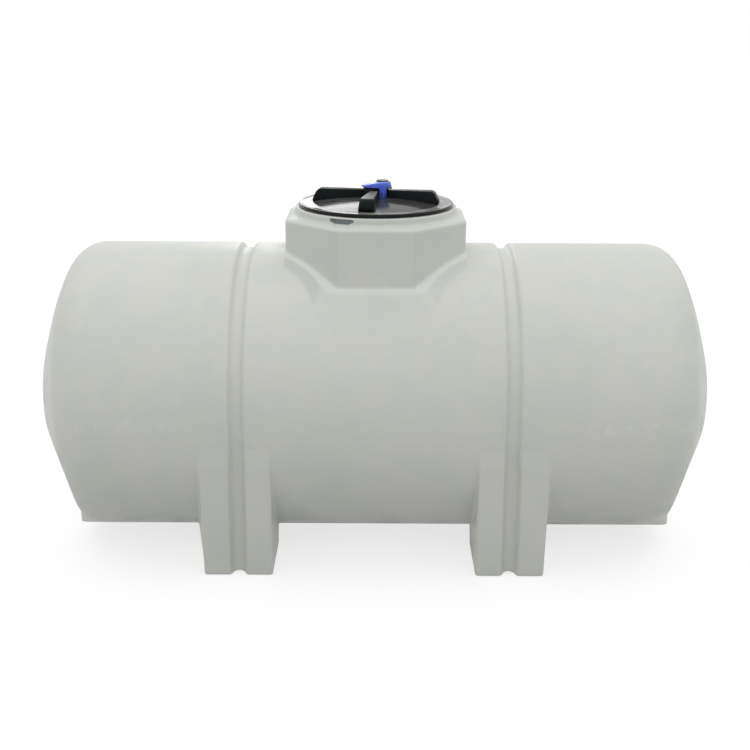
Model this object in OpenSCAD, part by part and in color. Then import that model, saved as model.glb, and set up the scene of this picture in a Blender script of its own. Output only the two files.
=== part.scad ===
// Horizontal leg tank: one moulded shell on four legs, an eight-sided neck
// and a lift-off manway lid with a cross grip.
// The barrel lies along X, Z points up and the ground is at Z = 0.

/* [Barrel] */
// Outer radius of the barrel
barrel_r = 420; // [340:5:520]
// Length of the straight barrel between the two end knuckles
barrel_len = 1580; // [1300:10:2200]
// Thickness of the moulded wall
wall = 7; // [5:0.5:12]
// Clear height between the ground and the belly of the barrel
belly_gap = 35; // [20:1:120]

/* [Ends] */
// Radius of the knuckle where the barrel turns into an end
knuckle_r = 90; // [60:1:120]
// Radius of the shallow dome that closes each end
dome_r = 820; // [700:5:1200]
// Angle by which the lower half of each end slants in towards the ground
slant = 15.5; // [10:0.5:20]
// Radius of the slanted lower half, seen along its slant
slant_r = 930; // [800:10:1200]
// How far the slanted face would stand past the dome on the barrel's axis
slant_out = 10; // [5:1:20]
// Width of the flat drain boss at the foot of each end
boss_w = 320; // [120:5:360]
// Height of the drain boss above the belly
boss_h = 95; // [50:1:110]
// How far the flat of the drain boss stands past the straight barrel
boss_reach = 86; // [80:1:110]
// How far the underside of the drain boss lies inside the line of the belly
boss_set = 1; // [0.5:0.5:6]

/* [Strap grooves] */
// Distance from mid length to the middle of each strap groove
groove_x = 370; // [320:5:600]
// Width of a groove at its floor
groove_floor = 26; // [20:1:60]
// Width of a groove at its mouth
groove_mouth = 44; // [30:1:80]
// Depth of a groove in the barrel
groove_d = 16; // [8:1:24]

/* [Legs] */
// Width of a leg along the barrel, at its outer face
leg_w = 196; // [140:1:260]
// Depth of a foot from its outer face to its back
foot_d = 200; // [150:5:240]
// Angle by which the outer face of a leg leans in from upright
leg_lean = 8; // [4:1:14]
// Angle by which the back face of a leg leans
leg_back_lean = 12; // [6:1:20]
// How much wider a leg is at the back of the foot, on its outboard side
leg_flare = 28; // [0:1:50]
// Angle by which a leg splays out along the barrel towards its foot
leg_splay = 1.6; // [0:0.1:4]
// Thickness of the top edge of a leg where it meets the barrel
leg_lip = 3; // [1:0.5:5]

/* [Neck] */
// Width of the shoulder outside the manway's lip, at the flats of the eight-sided neck
shoulder_w = 23; // [10:1:60]
// Height of the neck's upright walls above the crown of the barrel
neck_h = 90; // [60:1:160]
// Width of the ledge between the neck and its flared base
ledge_w = 8; // [6:1:20]
// Height of the ledge above the barrel's surface
ledge_h = 15; // [8:1:30]
// Thickness of the shoulder at its edge
shoulder_t = 7; // [5:0.5:12]
// Rise of the shoulder from the neck's edge to the lip
shoulder_rise = 8; // [6:1:24]

/* [Manway] */
// Radius of the manway opening
manway_r = 203; // [160:1:250]
// Width of the round lip around the opening
lip_w = 27; // [20:1:40]
// Height of the lip above the shoulder
lip_h = 18; // [8:1:24]
// Size of the bevel around the outside of the lip
lip_bevel = 4; // [1:0.5:6]
// Width of the pry notch in the side of the lip, at its top
notch_w = 86; // [40:2:100]
// How far the pry notch cuts into the lip
notch_d = 12; // [4:1:16]
// Turn of the pry notch from the front towards the left
notch_turn = 24; // [0:1:45]

/* [Lid] */
// How far the lid laps over the edge of the opening
lid_lap = 17; // [12:0.5:20]
// Height of the lid's rim
rim_h = 10; // [8:1:20]
// Thickness of the rim, the disc and the plug
lid_t = 5; // [3:0.5:8]
// Distance from the edge of the opening in to the foot of the lid's dome
crown_inset = 19; // [10:1:50]
// Rise of the dome above the brim
crown_rise = 15; // [8:1:20]
// Depth of the plug below the gasket
plug_h = 46; // [30:1:80]
// Running gap between the plug and the opening
plug_gap = 5; // [5:0.5:8]
// Thickness of the gasket
gasket_t = 4; // [2:0.5:6]
// Gap between the gasket and its seat
seat_gap = 0.3; // [0.1:0.1:0.5]

/* [Grip and vent] */
// Distance from the edge of the lid in to the end of a grip bar
grip_inset = 40; // [30:1:45]
// Width of a grip bar at its end
grip_w = 46; // [30:1:60]
// Width a grip bar narrows to at the middle of the lid
grip_root_w = 26; // [20:1:46]
// Height of the grip bars above the brim
grip_h = 36; // [30:1:60]
// Height of the upright part of a grip bar's end
grip_toe = 8; // [2:1:20]
// Length of the sloping end of a grip bar, at its top
grip_slope = 16; // [8:1:40]
// How much a side of a grip bar leans in over its height
grip_draft = 4; // [0:0.5:8]
// Turn of the cross grip about the middle of the lid
grip_turn = -8.5; // [-45:0.5:45]
// Radius of the hub in the middle of the cross grip
hub_r = 38; // [32:1:50]
// Height of the hub above the grip bars
hub_h = 9; // [2:1:15]
// Radius of the vent cap
vent_r = 18; // [10:1:20]
// Height of the vent cap above the hub
vent_h = 16; // [6:1:24]
// Offset of the vent cap from the middle of the hub
vent_out = 19; // [0:1:20]
// Turn of the vent cap's place from the right-hand grip bar
vent_turn = 25; // [0:5:90]
// Thickness of the clip over the hub, at its thin end
clip_thin = 3; // [2:0.5:6]
// Thickness of the clip over the hub, at its thick end
clip_thick = 13; // [6:1:17]
// Place where the clip's slope reaches its full thickness, from the middle of the hub
clip_crest = 6; // [0:1:20]
// Width of the clip's tongue between two grip bars
clip_w = 17; // [8:1:19]
// Thickness of the clip's tongue
clip_t = 4; // [2:0.5:6]
// Gap between the clip and the hub, the grip bar, the vent cap and the lid's dome
clip_gap = 0.3; // [0.1:0.1:1]

/* [Hidden] */
$fn = 96;

natural = [0.80, 0.82, 0.77];
black = [0.06, 0.07, 0.07];
rubber = [0.12, 0.12, 0.12];
blue = [0.10, 0.20, 0.75];

axis_z = belly_gap + barrel_r;
half_len = barrel_len / 2;
far = 2 * (barrel_len + barrel_r);

// Centre of a dome that just touches its knuckle, from the end of the barrel, and how
// far the dome is set in from there
dome_z = -sqrt(pow(dome_r - knuckle_r, 2) - pow(barrel_r - knuckle_r, 2));
dome_cross = 0.3;
end_depth = dome_z - dome_cross + dome_r;

// The groove's flanks lean, so the wall behind them is set back by this much
flank_x = (groove_mouth - groove_floor) / 2;
flank_set = wall * (norm([flank_x, groove_d]) - flank_x) / groove_d;
ring_half = groove_mouth / 2 + wall;

// Neck
lip_r = manway_r + lip_w;
neck_w = 2 * (lip_r + shoulder_w);
neck_half = neck_w / 2;
neck_side = neck_half * tan(22.5);
neck_top = barrel_r + neck_h;
shoulder_z = neck_top - shoulder_t;
lip_z = neck_top + shoulder_rise;
lip_top = lip_z + lip_h;

// Flared base of the neck, as planes around the barrel's axis
ledge_y = neck_half + ledge_w;
ledge_z = sqrt(pow(barrel_r + ledge_h, 2) - pow(ledge_y, 2));
ledge_pole = atan2(ledge_z, ledge_y);
base_touch = ledge_pole - acos(barrel_r / (barrel_r + ledge_h));
base_proud = 1;
cheek_normal = [0.341, 0.648, 0.681];
cheek_proud = 8;
cheek_d = [neck_side + ledge_w / 2, ledge_y, ledge_z] * cheek_normal + cheek_proud;

// Lid
lid_r = manway_r + lid_lap;
crown_r = manway_r - crown_inset;
seat_z = lip_top + seat_gap;
brim_z = seat_z + gasket_t;
plug_r = manway_r - plug_gap;
gasket_play = 1;
gasket_in = manway_r + gasket_play;
gasket_out = lid_r - lid_t - gasket_play;
rim_z = seat_z + gasket_play;
disc_top = brim_z + lid_t;
grip_reach = lid_r - grip_inset;
grip_top = disc_top + grip_h;
hub_top = grip_top + hub_h;
cap_dome_r = (pow(crown_r, 2) + pow(crown_rise, 2)) / (2 * crown_rise);

// ---- helpers ----

// Places what is drawn around the barrel's axis at its height over the ground
module on_axis() {
    translate([0, 0, axis_z]) children();
}

// Lays a shape that is drawn along Z down along +X
module along_x() {
    rotate([0, 90, 0]) children();
}

// A round bar along X, from one place to another
module bar_x(from, to, r) {
    translate([from, 0, 0]) along_x() cylinder(h = to - from, r = r, $fn = 180);
}

// A ring along X between two places, one wall thick
module shell_ring(from, to) {
    difference() {
        bar_x(from, to, barrel_r);
        bar_x(from - 1, to + 1, barrel_r - wall);
    }
}

// Keeps the half of a shape above the parting line, or below it
module mould_half(upper) {
    intersection() {
        children();
        translate([-far / 2, -far / 2, upper ? 0 : -far]) cube([far, far, far]);
    }
}

// All the space behind a plane with this outward normal and distance
module behind_plane(normal, d) {
    n = normal / norm(normal);
    rotate([0, acos(n[2]), atan2(n[1], n[0])])
        translate([-far / 2, -far / 2, d / norm(normal) - far])
            cube([far, far, far]);
}

// Upright eight-sided prism, its flats facing X and Y
module octagon(across, from, to) {
    translate([0, 0, from]) rotate([0, 0, 22.5])
        cylinder(h = to - from, r = across / 2 / cos(22.5), $fn = 8);
}

// Upright ring
module collar(r_in, r_out, from, to) {
    difference() {
        translate([0, 0, from]) cylinder(h = to - from, r = r_out);
        translate([0, 0, from - 1]) cylinder(h = to - from + 2, r = r_in);
    }
}

// ---- barrel and ends ----

// Half outline of an end, its axis upright: a dome above the line through the knuckle's
// middle, and the knuckle, which the dome crosses a little, below it
module end_outline(inset) {
    corner_r = barrel_r - knuckle_r;
    reach = [2 * corner_r, -2 * dome_z];
    intersection() {
        translate([0, dome_z - dome_cross]) circle(r = dome_r - inset, $fn = 360);
        union() {
            translate([corner_r, 0]) circle(r = knuckle_r - inset, $fn = 120);
            polygon([[0, dome_z], reach + [0, dome_z], [0, reach[1]]]);
        }
        square([dome_r, dome_r]);
    }
}

// Solid domed end on the +X side, its skin set in by an amount
module domed_end(inset) {
    translate([half_len, 0, 0]) along_x() rotate_extrude($fn = 180) end_outline(inset);
}

// Large leaning cylinder that gives the lower half of the end its slant
module slanted_face(inset) {
    translate([half_len + end_depth + slant_out, 0, 0]) rotate([0, slant, 0])
        translate([-slant_r, 0, -far / 2]) rotate([0, 0, 180])
            cylinder(h = far, r = slant_r - inset, $fn = 360);
}

module end_shell() {
    difference() {
        intersection() {
            domed_end(0);
            slanted_face(0);
        }
        intersection() {
            domed_end(wall);
            slanted_face(wall);
        }
    }
}

module left_end() {
    color(natural) on_axis() mirror([1, 0, 0]) end_shell();
}

module right_end() {
    color(natural) on_axis() end_shell();
}

// Flat-faced boss at the lower corner of an end, its underside just inside the belly's line
module drain_boss() {
    difference() {
        boss_block();
        domed_end(0);
    }
    difference() {
        boss_block();
        slanted_face(0);
    }
}

module boss_block() {
    intersection() {
        translate([half_len, -boss_w / 2, -barrel_r]) cube([boss_reach, boss_w, boss_h]);
        bar_x(half_len, half_len + boss_reach, barrel_r - boss_set);
    }
}

module left_drain_boss() {
    color(natural) on_axis() mirror([1, 0, 0]) drain_boss();
}

module right_drain_boss() {
    color(natural) on_axis() drain_boss();
}

// Straight barrel outboard of a groove
module outer_barrel() {
    shell_ring(groove_x + ring_half, half_len);
}

module left_barrel_upper() {
    color(natural) on_axis() mould_half(true) mirror([1, 0, 0]) outer_barrel();
}

module left_barrel_lower() {
    color(natural) on_axis() mould_half(false) mirror([1, 0, 0]) outer_barrel();
}

module right_barrel_upper() {
    color(natural) on_axis() mould_half(true) outer_barrel();
}

module right_barrel_lower() {
    color(natural) on_axis() mould_half(false) outer_barrel();
}

// Solid barrel on the +X side, out to its skin, with the groove cut in it
module barrel_core() {
    lip = groove_mouth / 2;
    foot = groove_floor / 2;
    floor_r = barrel_r - groove_d;
    along_x() rotate_extrude($fn = 180) polygon([
        [0, 0], [barrel_r, 0],
        [barrel_r, groove_x - lip], [floor_r, groove_x - foot],
        [floor_r, groove_x + foot], [barrel_r, groove_x + lip],
        [barrel_r, half_len], [0, half_len]
    ]);
}

// Recessed ring that carries a hold-down strap
module groove_ring() {
    lip = groove_mouth / 2;
    foot = groove_floor / 2;
    floor_r = barrel_r - groove_d;
    translate([groove_x, 0, 0]) along_x() rotate_extrude($fn = 180) polygon([
        [barrel_r, -ring_half], [barrel_r, -lip],
        [floor_r, -foot], [floor_r, foot],
        [barrel_r, lip], [barrel_r, ring_half],
        [barrel_r - wall, ring_half], [barrel_r - wall, lip + flank_set],
        [floor_r - wall, foot + flank_set], [floor_r - wall, -foot - flank_set],
        [barrel_r - wall, -lip - flank_set], [barrel_r - wall, -ring_half]
    ]);
}

module left_groove_upper() {
    color(natural) on_axis() mould_half(true) mirror([1, 0, 0]) groove_ring();
}

module left_groove_lower() {
    color(natural) on_axis() mould_half(false) mirror([1, 0, 0]) groove_ring();
}

module right_groove_upper() {
    color(natural) on_axis() mould_half(true) groove_ring();
}

module right_groove_lower() {
    color(natural) on_axis() mould_half(false) groove_ring();
}

module middle_barrel() {
    shell_ring(-groove_x + ring_half, groove_x - ring_half);
}

module middle_barrel_upper() {
    color(natural) on_axis() difference() {
        mould_half(true) middle_barrel();
        octagon(neck_w - 2 * wall, 0, neck_top);
    }
}

module middle_barrel_lower() {
    color(natural) on_axis() mould_half(false) middle_barrel();
}

// ---- legs ----

// One front leg on the +X side, against the barrel
module leg() {
    face_y = (barrel_r + leg_lip) * cos(leg_lean);
    face_z = -(barrel_r + leg_lip) * sin(leg_lean);
    leg_h = axis_z + face_z;
    toe_y = face_y - leg_h * tan(leg_lean);
    heel_y = toe_y - foot_d;
    difference() {
        intersection() {
            // side view, front to the left
            translate([groove_x - leg_w, 0, 0]) rotate([90, 0, 90])
                linear_extrude(height = 2 * leg_w) polygon([
                    [-face_y, face_z], [-toe_y, -axis_z], [-heel_y, -axis_z],
                    [-heel_y + leg_h * tan(leg_back_lean), face_z]
                ]);
            // plan view, wider at the back on the outboard side
            splayed() translate([0, 0, -2 * axis_z]) linear_extrude(height = 3 * axis_z) polygon([
                [-leg_w / 2, -barrel_r - leg_lip], [leg_w / 2, -barrel_r - leg_lip],
                [leg_w / 2, -toe_y], [leg_w / 2 + leg_flare, -heel_y],
                [leg_w / 2 + leg_flare, 0], [-leg_w / 2, 0]
            ]);
        }
        barrel_core();
        // strap groove down the outer face, in line with the barrel's groove
        splayed() rotate([leg_lean, 0, 0]) translate([0, -barrel_r - leg_lip, -far / 2])
            linear_extrude(height = far) polygon([
                [-groove_mouth / 2, 0], [-groove_floor / 2, groove_d + leg_lip],
                [groove_floor / 2, groove_d + leg_lip], [groove_mouth / 2, 0],
                [groove_mouth / 2, -leg_w], [-groove_mouth / 2, -leg_w]
            ]);
    }
}

// Stands a shape on the middle of a groove, its lower end splayed away from mid length
module splayed() {
    translate([groove_x, 0, 0]) rotate([0, -leg_splay, 0]) children();
}

module front_right_leg() {
    color(natural) on_axis() leg();
}

module front_left_leg() {
    color(natural) on_axis() mirror([1, 0, 0]) leg();
}

module rear_right_leg() {
    color(natural) on_axis() mirror([0, 1, 0]) leg();
}

module rear_left_leg() {
    color(natural) on_axis() mirror([0, 1, 0]) mirror([1, 0, 0]) leg();
}

// ---- neck ----

// Flared base that runs from the front of the neck onto the barrel
module neck_base() {
    difference() {
        intersection() {
            behind_plane([0, -cos(base_touch), sin(base_touch)], barrel_r + base_proud);
            bar_x(-half_len, half_len, barrel_r + ledge_h);
            behind_plane([0, -sin(base_touch), -cos(base_touch)], 0);
            for_cheek(1);
            for_cheek(-1);
            translate([-neck_half, -barrel_r, 0])
                cube([neck_w, barrel_r - neck_side - ledge_w / 2, far]);
        }
        bar_x(-half_len, half_len, barrel_r);
        octagon(neck_w, 0, neck_top);
    }
}

// Sloping cheek on one side of the base
module for_cheek(side) {
    behind_plane([side * cheek_normal[0], -cheek_normal[1], cheek_normal[2]], cheek_d);
}

module front_neck_base() {
    color(natural) on_axis() neck_base();
}

module rear_neck_base() {
    color(natural) on_axis() mirror([0, 1, 0]) neck_base();
}

module neck_wall() {
    color(natural) on_axis() difference() {
        octagon(neck_w, 0, shoulder_z);
        octagon(neck_w - 2 * wall, -1, neck_top);
        bar_x(-half_len, half_len, barrel_r);
    }
}

module neck_shoulder() {
    color(natural) on_axis() difference() {
        union() {
            octagon(neck_w, shoulder_z, neck_top);
            hull() {
                octagon(neck_w - 1, neck_top - 1, neck_top);
                translate([0, 0, neck_top]) cylinder(h = shoulder_rise, r = lip_r + 2);
            }
        }
        translate([0, 0, shoulder_z - 1])
            cylinder(h = lip_h + neck_h, r = manway_r);
    }
}

// Round lip with a pry notch in its side, closed at the top, whose ends slope
module manway_lip() {
    notch_sill = 2;
    color(natural) on_axis() difference() {
        rotate_extrude() polygon([
            [manway_r, lip_z], [lip_r, lip_z], [lip_r, lip_top - lip_bevel],
            [lip_r - lip_bevel, lip_top], [manway_r, lip_top]
        ]);
        rotate([0, 0, -notch_turn]) translate([0, -lip_r + notch_d, lip_z])
            rotate([90, 0, 0]) linear_extrude(height = lip_r) polygon([
                [-notch_w / 4, notch_sill], [notch_w / 4, notch_sill],
                [notch_w / 2, lip_h - lip_bevel], [-notch_w / 2, lip_h - lip_bevel]
            ]);
    }
}

// ---- lid ----

module lid_gasket() {
    color(rubber) on_axis() collar(gasket_in, gasket_out, seat_z, brim_z);
}

module lid_plug() {
    color(black) on_axis() collar(plug_r - lid_t, plug_r, brim_z - plug_h, brim_z);
}

module lid_rim() {
    color(black) on_axis() collar(lid_r - lid_t, lid_r, rim_z, rim_z + rim_h);
}

// Brim with a shallow dome inside it
module lid_disc() {
    color(black) on_axis() {
        difference() {
            union() {
                translate([0, 0, brim_z]) cylinder(h = lid_t, r = lid_r - lid_t);
                crown(disc_top, crown_r);
            }
            crown(brim_z, crown_r - lid_t);
        }
    }
}

// Solid cap of a large sphere standing on a level
module crown(level, r) {
    intersection() {
        crown_ball(level);
        translate([0, 0, level]) cylinder(h = crown_rise + 1, r = r);
    }
}

module crown_ball(level) {
    translate([0, 0, level + crown_rise - cap_dome_r]) sphere(r = cap_dome_r, $fn = 180);
}

// Half the width of a grip bar at a distance from the middle of the lid
function grip_half(x) = (grip_root_w + (grip_w - grip_root_w) * x / grip_reach) / 2;

// One bar of the cross grip, along +X, cut to the hub and to the lid's dome
module grip_bar() {
    difference() {
        intersection() {
            translate([0, grip_w / 2, 0]) rotate([90, 0, 0])
                linear_extrude(height = grip_w) polygon([
                    [hub_r / 2, disc_top], [grip_reach, disc_top],
                    [grip_reach, disc_top + grip_toe], [grip_reach - grip_slope, grip_top],
                    [hub_r / 2, grip_top]
                ]);
            rotate([90, 0, 90]) linear_extrude(height = grip_reach) polygon([
                [-grip_w / 2, disc_top], [grip_w / 2, disc_top],
                [grip_w / 2 - grip_draft, grip_top], [grip_draft - grip_w / 2, grip_top]
            ]);
            linear_extrude(height = hub_top) polygon([
                [0, -grip_half(0)], [grip_reach, -grip_half(grip_reach)],
                [grip_reach, grip_half(grip_reach)], [0, grip_half(0)]
            ]);
        }
        crown_ball(disc_top);
        translate([0, 0, brim_z]) cylinder(h = far, r = hub_r);
    }
}

module grip(turn) {
    color(black) on_axis() rotate([0, 0, grip_turn + turn]) grip_bar();
}

module right_grip() {
    grip(0);
}

module rear_grip() {
    grip(90);
}

module left_grip() {
    grip(180);
}

module front_grip() {
    grip(270);
}

module grip_hub() {
    color(black) on_axis() difference() {
        translate([0, 0, disc_top]) cylinder(h = hub_top - disc_top, r = hub_r);
        crown(disc_top, crown_r);
    }
}

module vent_cap() {
    color(black) on_axis() rotate([0, 0, grip_turn + vent_turn])
        translate([vent_out, 0, hub_top]) cylinder(h = vent_h, r = vent_r);
}

// Clip that lies over the front of the hub, its tongue let down between two grip bars
module vent_clip() {
    inner = hub_r + clip_gap;
    outer = inner + clip_t;
    base_z = disc_top + crown_rise + clip_gap;
    plate_z = hub_top + clip_gap;
    color(blue) on_axis() rotate([0, 0, grip_turn]) {
        difference() {
            intersection() {
                translate([0, 0, plate_z]) rotate([90, 0, 0])
                    linear_extrude(height = 2 * outer) polygon([
                        [-2 * outer, 0], [2 * outer, 0], [2 * outer, clip_thick],
                        [clip_crest, clip_thick], [-outer, clip_thin], [-2 * outer, clip_thin]
                    ]);
                translate([0, 0, base_z]) cylinder(h = far, r = outer);
            }
            rotate([0, 0, vent_turn]) translate([vent_out, 0, hub_top])
                cylinder(h = far, r = vent_r + clip_gap);
        }
        intersection() {
            collar(inner, outer, base_z, plate_z + clip_thin / 2);
            translate([grip_half(outer) + clip_gap, -2 * outer, 0]) cube([clip_w, 2 * outer, far]);
        }
    }
}

left_end();
right_end();
left_drain_boss();
right_drain_boss();
left_barrel_upper();
left_barrel_lower();
left_groove_upper();
left_groove_lower();
middle_barrel_upper();
middle_barrel_lower();
right_groove_upper();
right_groove_lower();
right_barrel_upper();
right_barrel_lower();
front_left_leg();
front_right_leg();
rear_left_leg();
rear_right_leg();
front_neck_base();
rear_neck_base();
neck_wall();
neck_shoulder();
manway_lip();
lid_gasket();
lid_plug();
lid_disc();
lid_rim();
left_grip();
right_grip();
front_grip();
rear_grip();
grip_hub();
vent_cap();
vent_clip();
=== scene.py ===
import math

import bpy
from mathutils import Matrix, Vector


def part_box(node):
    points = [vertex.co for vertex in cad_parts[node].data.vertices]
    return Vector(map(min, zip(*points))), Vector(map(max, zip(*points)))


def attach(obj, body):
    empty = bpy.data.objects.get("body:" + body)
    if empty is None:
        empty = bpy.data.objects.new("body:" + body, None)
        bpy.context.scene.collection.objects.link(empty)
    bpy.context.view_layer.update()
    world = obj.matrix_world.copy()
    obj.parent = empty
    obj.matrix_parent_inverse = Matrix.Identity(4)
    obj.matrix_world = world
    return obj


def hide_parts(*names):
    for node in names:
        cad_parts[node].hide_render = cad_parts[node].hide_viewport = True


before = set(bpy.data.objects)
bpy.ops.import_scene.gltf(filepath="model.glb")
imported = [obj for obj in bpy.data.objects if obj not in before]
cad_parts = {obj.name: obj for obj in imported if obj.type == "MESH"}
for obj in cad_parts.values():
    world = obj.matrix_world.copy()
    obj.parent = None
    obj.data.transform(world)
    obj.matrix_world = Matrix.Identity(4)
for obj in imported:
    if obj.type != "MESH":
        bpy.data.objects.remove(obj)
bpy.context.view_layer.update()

# ---- sizes, in metres: what the CAD nodes say, then the finer details ----

wall = 0.007
axis_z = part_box("middle_barrel_upper")[0].z
barrel_r = axis_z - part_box("middle_barrel_lower")[0].z
half_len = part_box("right_barrel_upper")[1].x
groove_x = sum(v.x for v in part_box("right_groove_upper")) / 2
boss_low, boss_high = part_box("right_drain_boss")
neck_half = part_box("neck_wall")[1].x
neck_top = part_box("neck_wall")[1].z + wall
lip_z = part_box("manway_lip")[0].z
lip_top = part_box("manway_lip")[1].z
lip_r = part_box("manway_lip")[1].x
lid_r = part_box("lid_rim")[1].x
rim_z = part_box("lid_rim")[0].z
brim_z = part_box("lid_disc")[0].z
plug_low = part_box("lid_plug")[0].z
gasket_low, gasket_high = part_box("lid_gasket")
grip_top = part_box("right_grip")[1].z
hub_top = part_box("grip_hub")[1].z
hub_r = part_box("grip_hub")[1].x
cap_low, cap_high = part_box("vent_cap")
cap_mid = (cap_low + cap_high) / 2
cap_r = (cap_high.x - cap_low.x) / 2

# domed ends and their slanted face
knuckle_r = 0.090
dome_r = 0.820
dome_cross = 0.0003
slant = math.radians(15.5)
slant_r = 0.930
slant_out = 0.010
dome_back = math.sqrt((dome_r - knuckle_r) ** 2 - (barrel_r - knuckle_r) ** 2)
end_depth = dome_r - dome_back - dome_cross

# soft swells on both sides of a dome's middle
swell_up = 0.03
swell_band = 0.02
swell_near, swell_far = 0.20, 0.27
swell_out = 0.007
swell_reach = 0.19

# drain boss
boss_run = 0.10
boss_spread = 1.9
boss_corner = 0.016
boss_edge = 0.008
belly_gap = 0.0004

# strap grooves
groove_floor = 0.026
groove_mouth = 0.044
groove_d = 0.016

# legs, trimmed a little on both sides; the knee is where they leave the belly
leg_w = 0.188
leg_in, leg_out = 0.005, 0.010
leg_mid = 0.05
foot_d = 0.200
foot_in = 0.008
knee_rise = 0.02
leg_lean = math.radians(8)
leg_back_lean = math.radians(12)
leg_flare = 0.028
leg_splay = math.radians(1.6)
leg_lap = 0.0008
leg_proud = 0.004
leg_ramp = 0.05
leg_edge = 0.006
foot_hollow = (0.020, 0.034, 0.012)
foot_hollow_z = -0.004

# neck, its ledge and its cheeks
manway_r = 0.203
ledge_w = 0.008
ledge_h = 0.015
cheek_normal = Vector((0.341, -0.648, 0.681))
cheek_proud = 0.008
cheek_round = 0.025
base_proud = 0.0005
neck_corner = 0.012
neck_edge = 0.006
shoulder_in = 0.010
throat_corner = 0.008
lip_flare = 0.002
lip_edge = 0.0035
neck_side = neck_half * math.tan(math.radians(22.5))
ledge_y = neck_half + ledge_w
ledge_z = math.sqrt((barrel_r + ledge_h) ** 2 - ledge_y ** 2)
base_touch = math.atan2(ledge_z, ledge_y) - math.acos(barrel_r / (barrel_r + ledge_h))
cheek_normal.normalize()
cheek_far = Vector((neck_side + ledge_w / 2, -ledge_y, ledge_z)).dot(cheek_normal) + cheek_proud

# pry notch in the lip
notch_w = 0.086
notch_d = 0.012
notch_roof = 0.0045
notch_turn = math.radians(24)

# lid
disc_top = brim_z + 0.005
crown_rise = 0.015
crown_r = 0.184
plug_r = 0.198
plug_wall = 0.005
grip_turn = math.radians(-8.5)
vent_ribs = 48

shell_voxel = 0.005
leg_voxel = 0.003
neck_voxel = 0.0025

# how near a level still counts as on it
hair = 0.001

along_x = (0, math.pi / 2, 0)
sides = ((-1, "left"), (1, "right"))


# ---- hand tools ----

def leave_edit():
    if bpy.context.object and bpy.context.object.mode != "OBJECT":
        bpy.ops.object.mode_set(mode="OBJECT")


def clear_bench():
    """Leaves nothing selected."""
    leave_edit()
    bpy.ops.object.select_all(action="DESELECT")


def hold(obj):
    """Makes obj the one selected and active object."""
    clear_bench()
    obj.select_set(True)
    bpy.context.view_layer.objects.active = obj
    return obj


def rename(obj, name):
    obj.name = obj.data.name = name
    return obj


def added(name):
    """Names what was just added."""
    return rename(bpy.context.object, name)


def settle():
    """Applies the active object's place, turn and scale to its mesh."""
    bpy.ops.object.transform_apply(location=True, rotation=True, scale=True)


def block(name, low, high):
    """A box between two corners."""
    clear_bench()
    low, high = Vector(low), Vector(high)
    bpy.ops.mesh.primitive_cube_add(size=1, location=(low + high) / 2, scale=high - low)
    settle()
    return added(name)


def rod(name, radius, height, place, turn=(0, 0, 0), corners=96):
    """A round bar, upright unless turned, about its middle."""
    clear_bench()
    bpy.ops.mesh.primitive_cylinder_add(
        vertices=corners, radius=radius, depth=height, location=place, rotation=turn)
    settle()
    return added(name)


def upright(name, radius, low, high, corners=96):
    """A round bar on the neck's axis between two levels."""
    return rod(name, radius, high - low, (0, 0, (low + high) / 2), corners=corners)


def edit(obj, kind="FACE"):
    """Edit mode, with nothing selected."""
    hold(obj)
    bpy.ops.object.mode_set(mode="EDIT")
    bpy.ops.mesh.select_mode(type=kind)
    bpy.ops.mesh.select_all(action="DESELECT")


def edit_all(obj):
    """Edit mode, with the whole mesh selected."""
    edit(obj)
    bpy.ops.mesh.select_all(action="SELECT")


def pick_faces(obj, rule):
    """Edit mode, with the faces selected whose middle and normal pass the rule."""
    edit(obj, "FACE")
    bpy.ops.object.mode_set(mode="OBJECT")
    for face in obj.data.polygons:
        face.select = bool(rule(face.center, face.normal))
    bpy.ops.object.mode_set(mode="EDIT")


def pick_top(obj):
    pick_faces(obj, lambda c, n: n.z > 0.5)


def pick_points(obj, rule):
    """Edit mode, with the points selected whose place passes the rule."""
    edit(obj, "VERT")
    bpy.ops.object.mode_set(mode="OBJECT")
    for point in obj.data.vertices:
        point.select = bool(rule(point.co))
    bpy.ops.object.mode_set(mode="EDIT")


def pick_edges(obj, rule):
    """Edit mode, with the edges selected whose two ends pass the rule."""
    edit(obj, "EDGE")
    bpy.ops.object.mode_set(mode="OBJECT")
    points = obj.data.vertices
    for line in obj.data.edges:
        line.select = bool(rule(*(points[i].co for i in line.vertices)))
    bpy.ops.object.mode_set(mode="EDIT")


def slide(by):
    bpy.ops.transform.translate(value=by)


def grow(by, centre):
    bpy.ops.transform.resize(value=by, center_override=centre)


def round_edges(width, steps=3):
    bpy.ops.mesh.bevel(offset=width, offset_type="OFFSET", segments=steps, profile=0.5)
    leave_edit()


def round_top(obj, top, width, steps=3):
    """Rounds the edges that lie at a piece's top."""
    pick_edges(obj, lambda a, b: min(a.z, b.z) > top - hair)
    round_edges(width, steps)


def score(obj, level):
    """Draws a line of edges round a piece at a height."""
    edit_all(obj)
    bpy.ops.mesh.bisect(plane_co=(0, 0, level), plane_no=(0, 0, 1))
    leave_edit()


def cut_plane(obj, point, normal):
    """Cuts away what lies in front of a plane and closes the cut."""
    edit_all(obj)
    bpy.ops.mesh.bisect(plane_co=point, plane_no=normal, use_fill=True, clear_outer=True)
    leave_edit()
    return obj


def tilt(obj, turn, place=(0, 0, 0)):
    """Turns a piece about the origin, then moves it."""
    hold(obj)
    obj.rotation_euler = turn
    obj.location = place
    settle()
    return obj


def modify(obj, kind, **settings):
    """Adds a modifier and applies it at once."""
    hold(obj)
    change = obj.modifiers.new(kind.title(), kind)
    for name, value in settings.items():
        setattr(change, name, value)
    bpy.ops.object.modifier_apply(modifier=change.name)
    return obj


def combine(obj, other, how, keep=False):
    """Joins, cuts or crosses two closed pieces."""
    modify(obj, "BOOLEAN", object=other, operation=how, solver="MANIFOLD")
    if not keep:
        bpy.data.objects.remove(other, do_unlink=True)
    return obj


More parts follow.
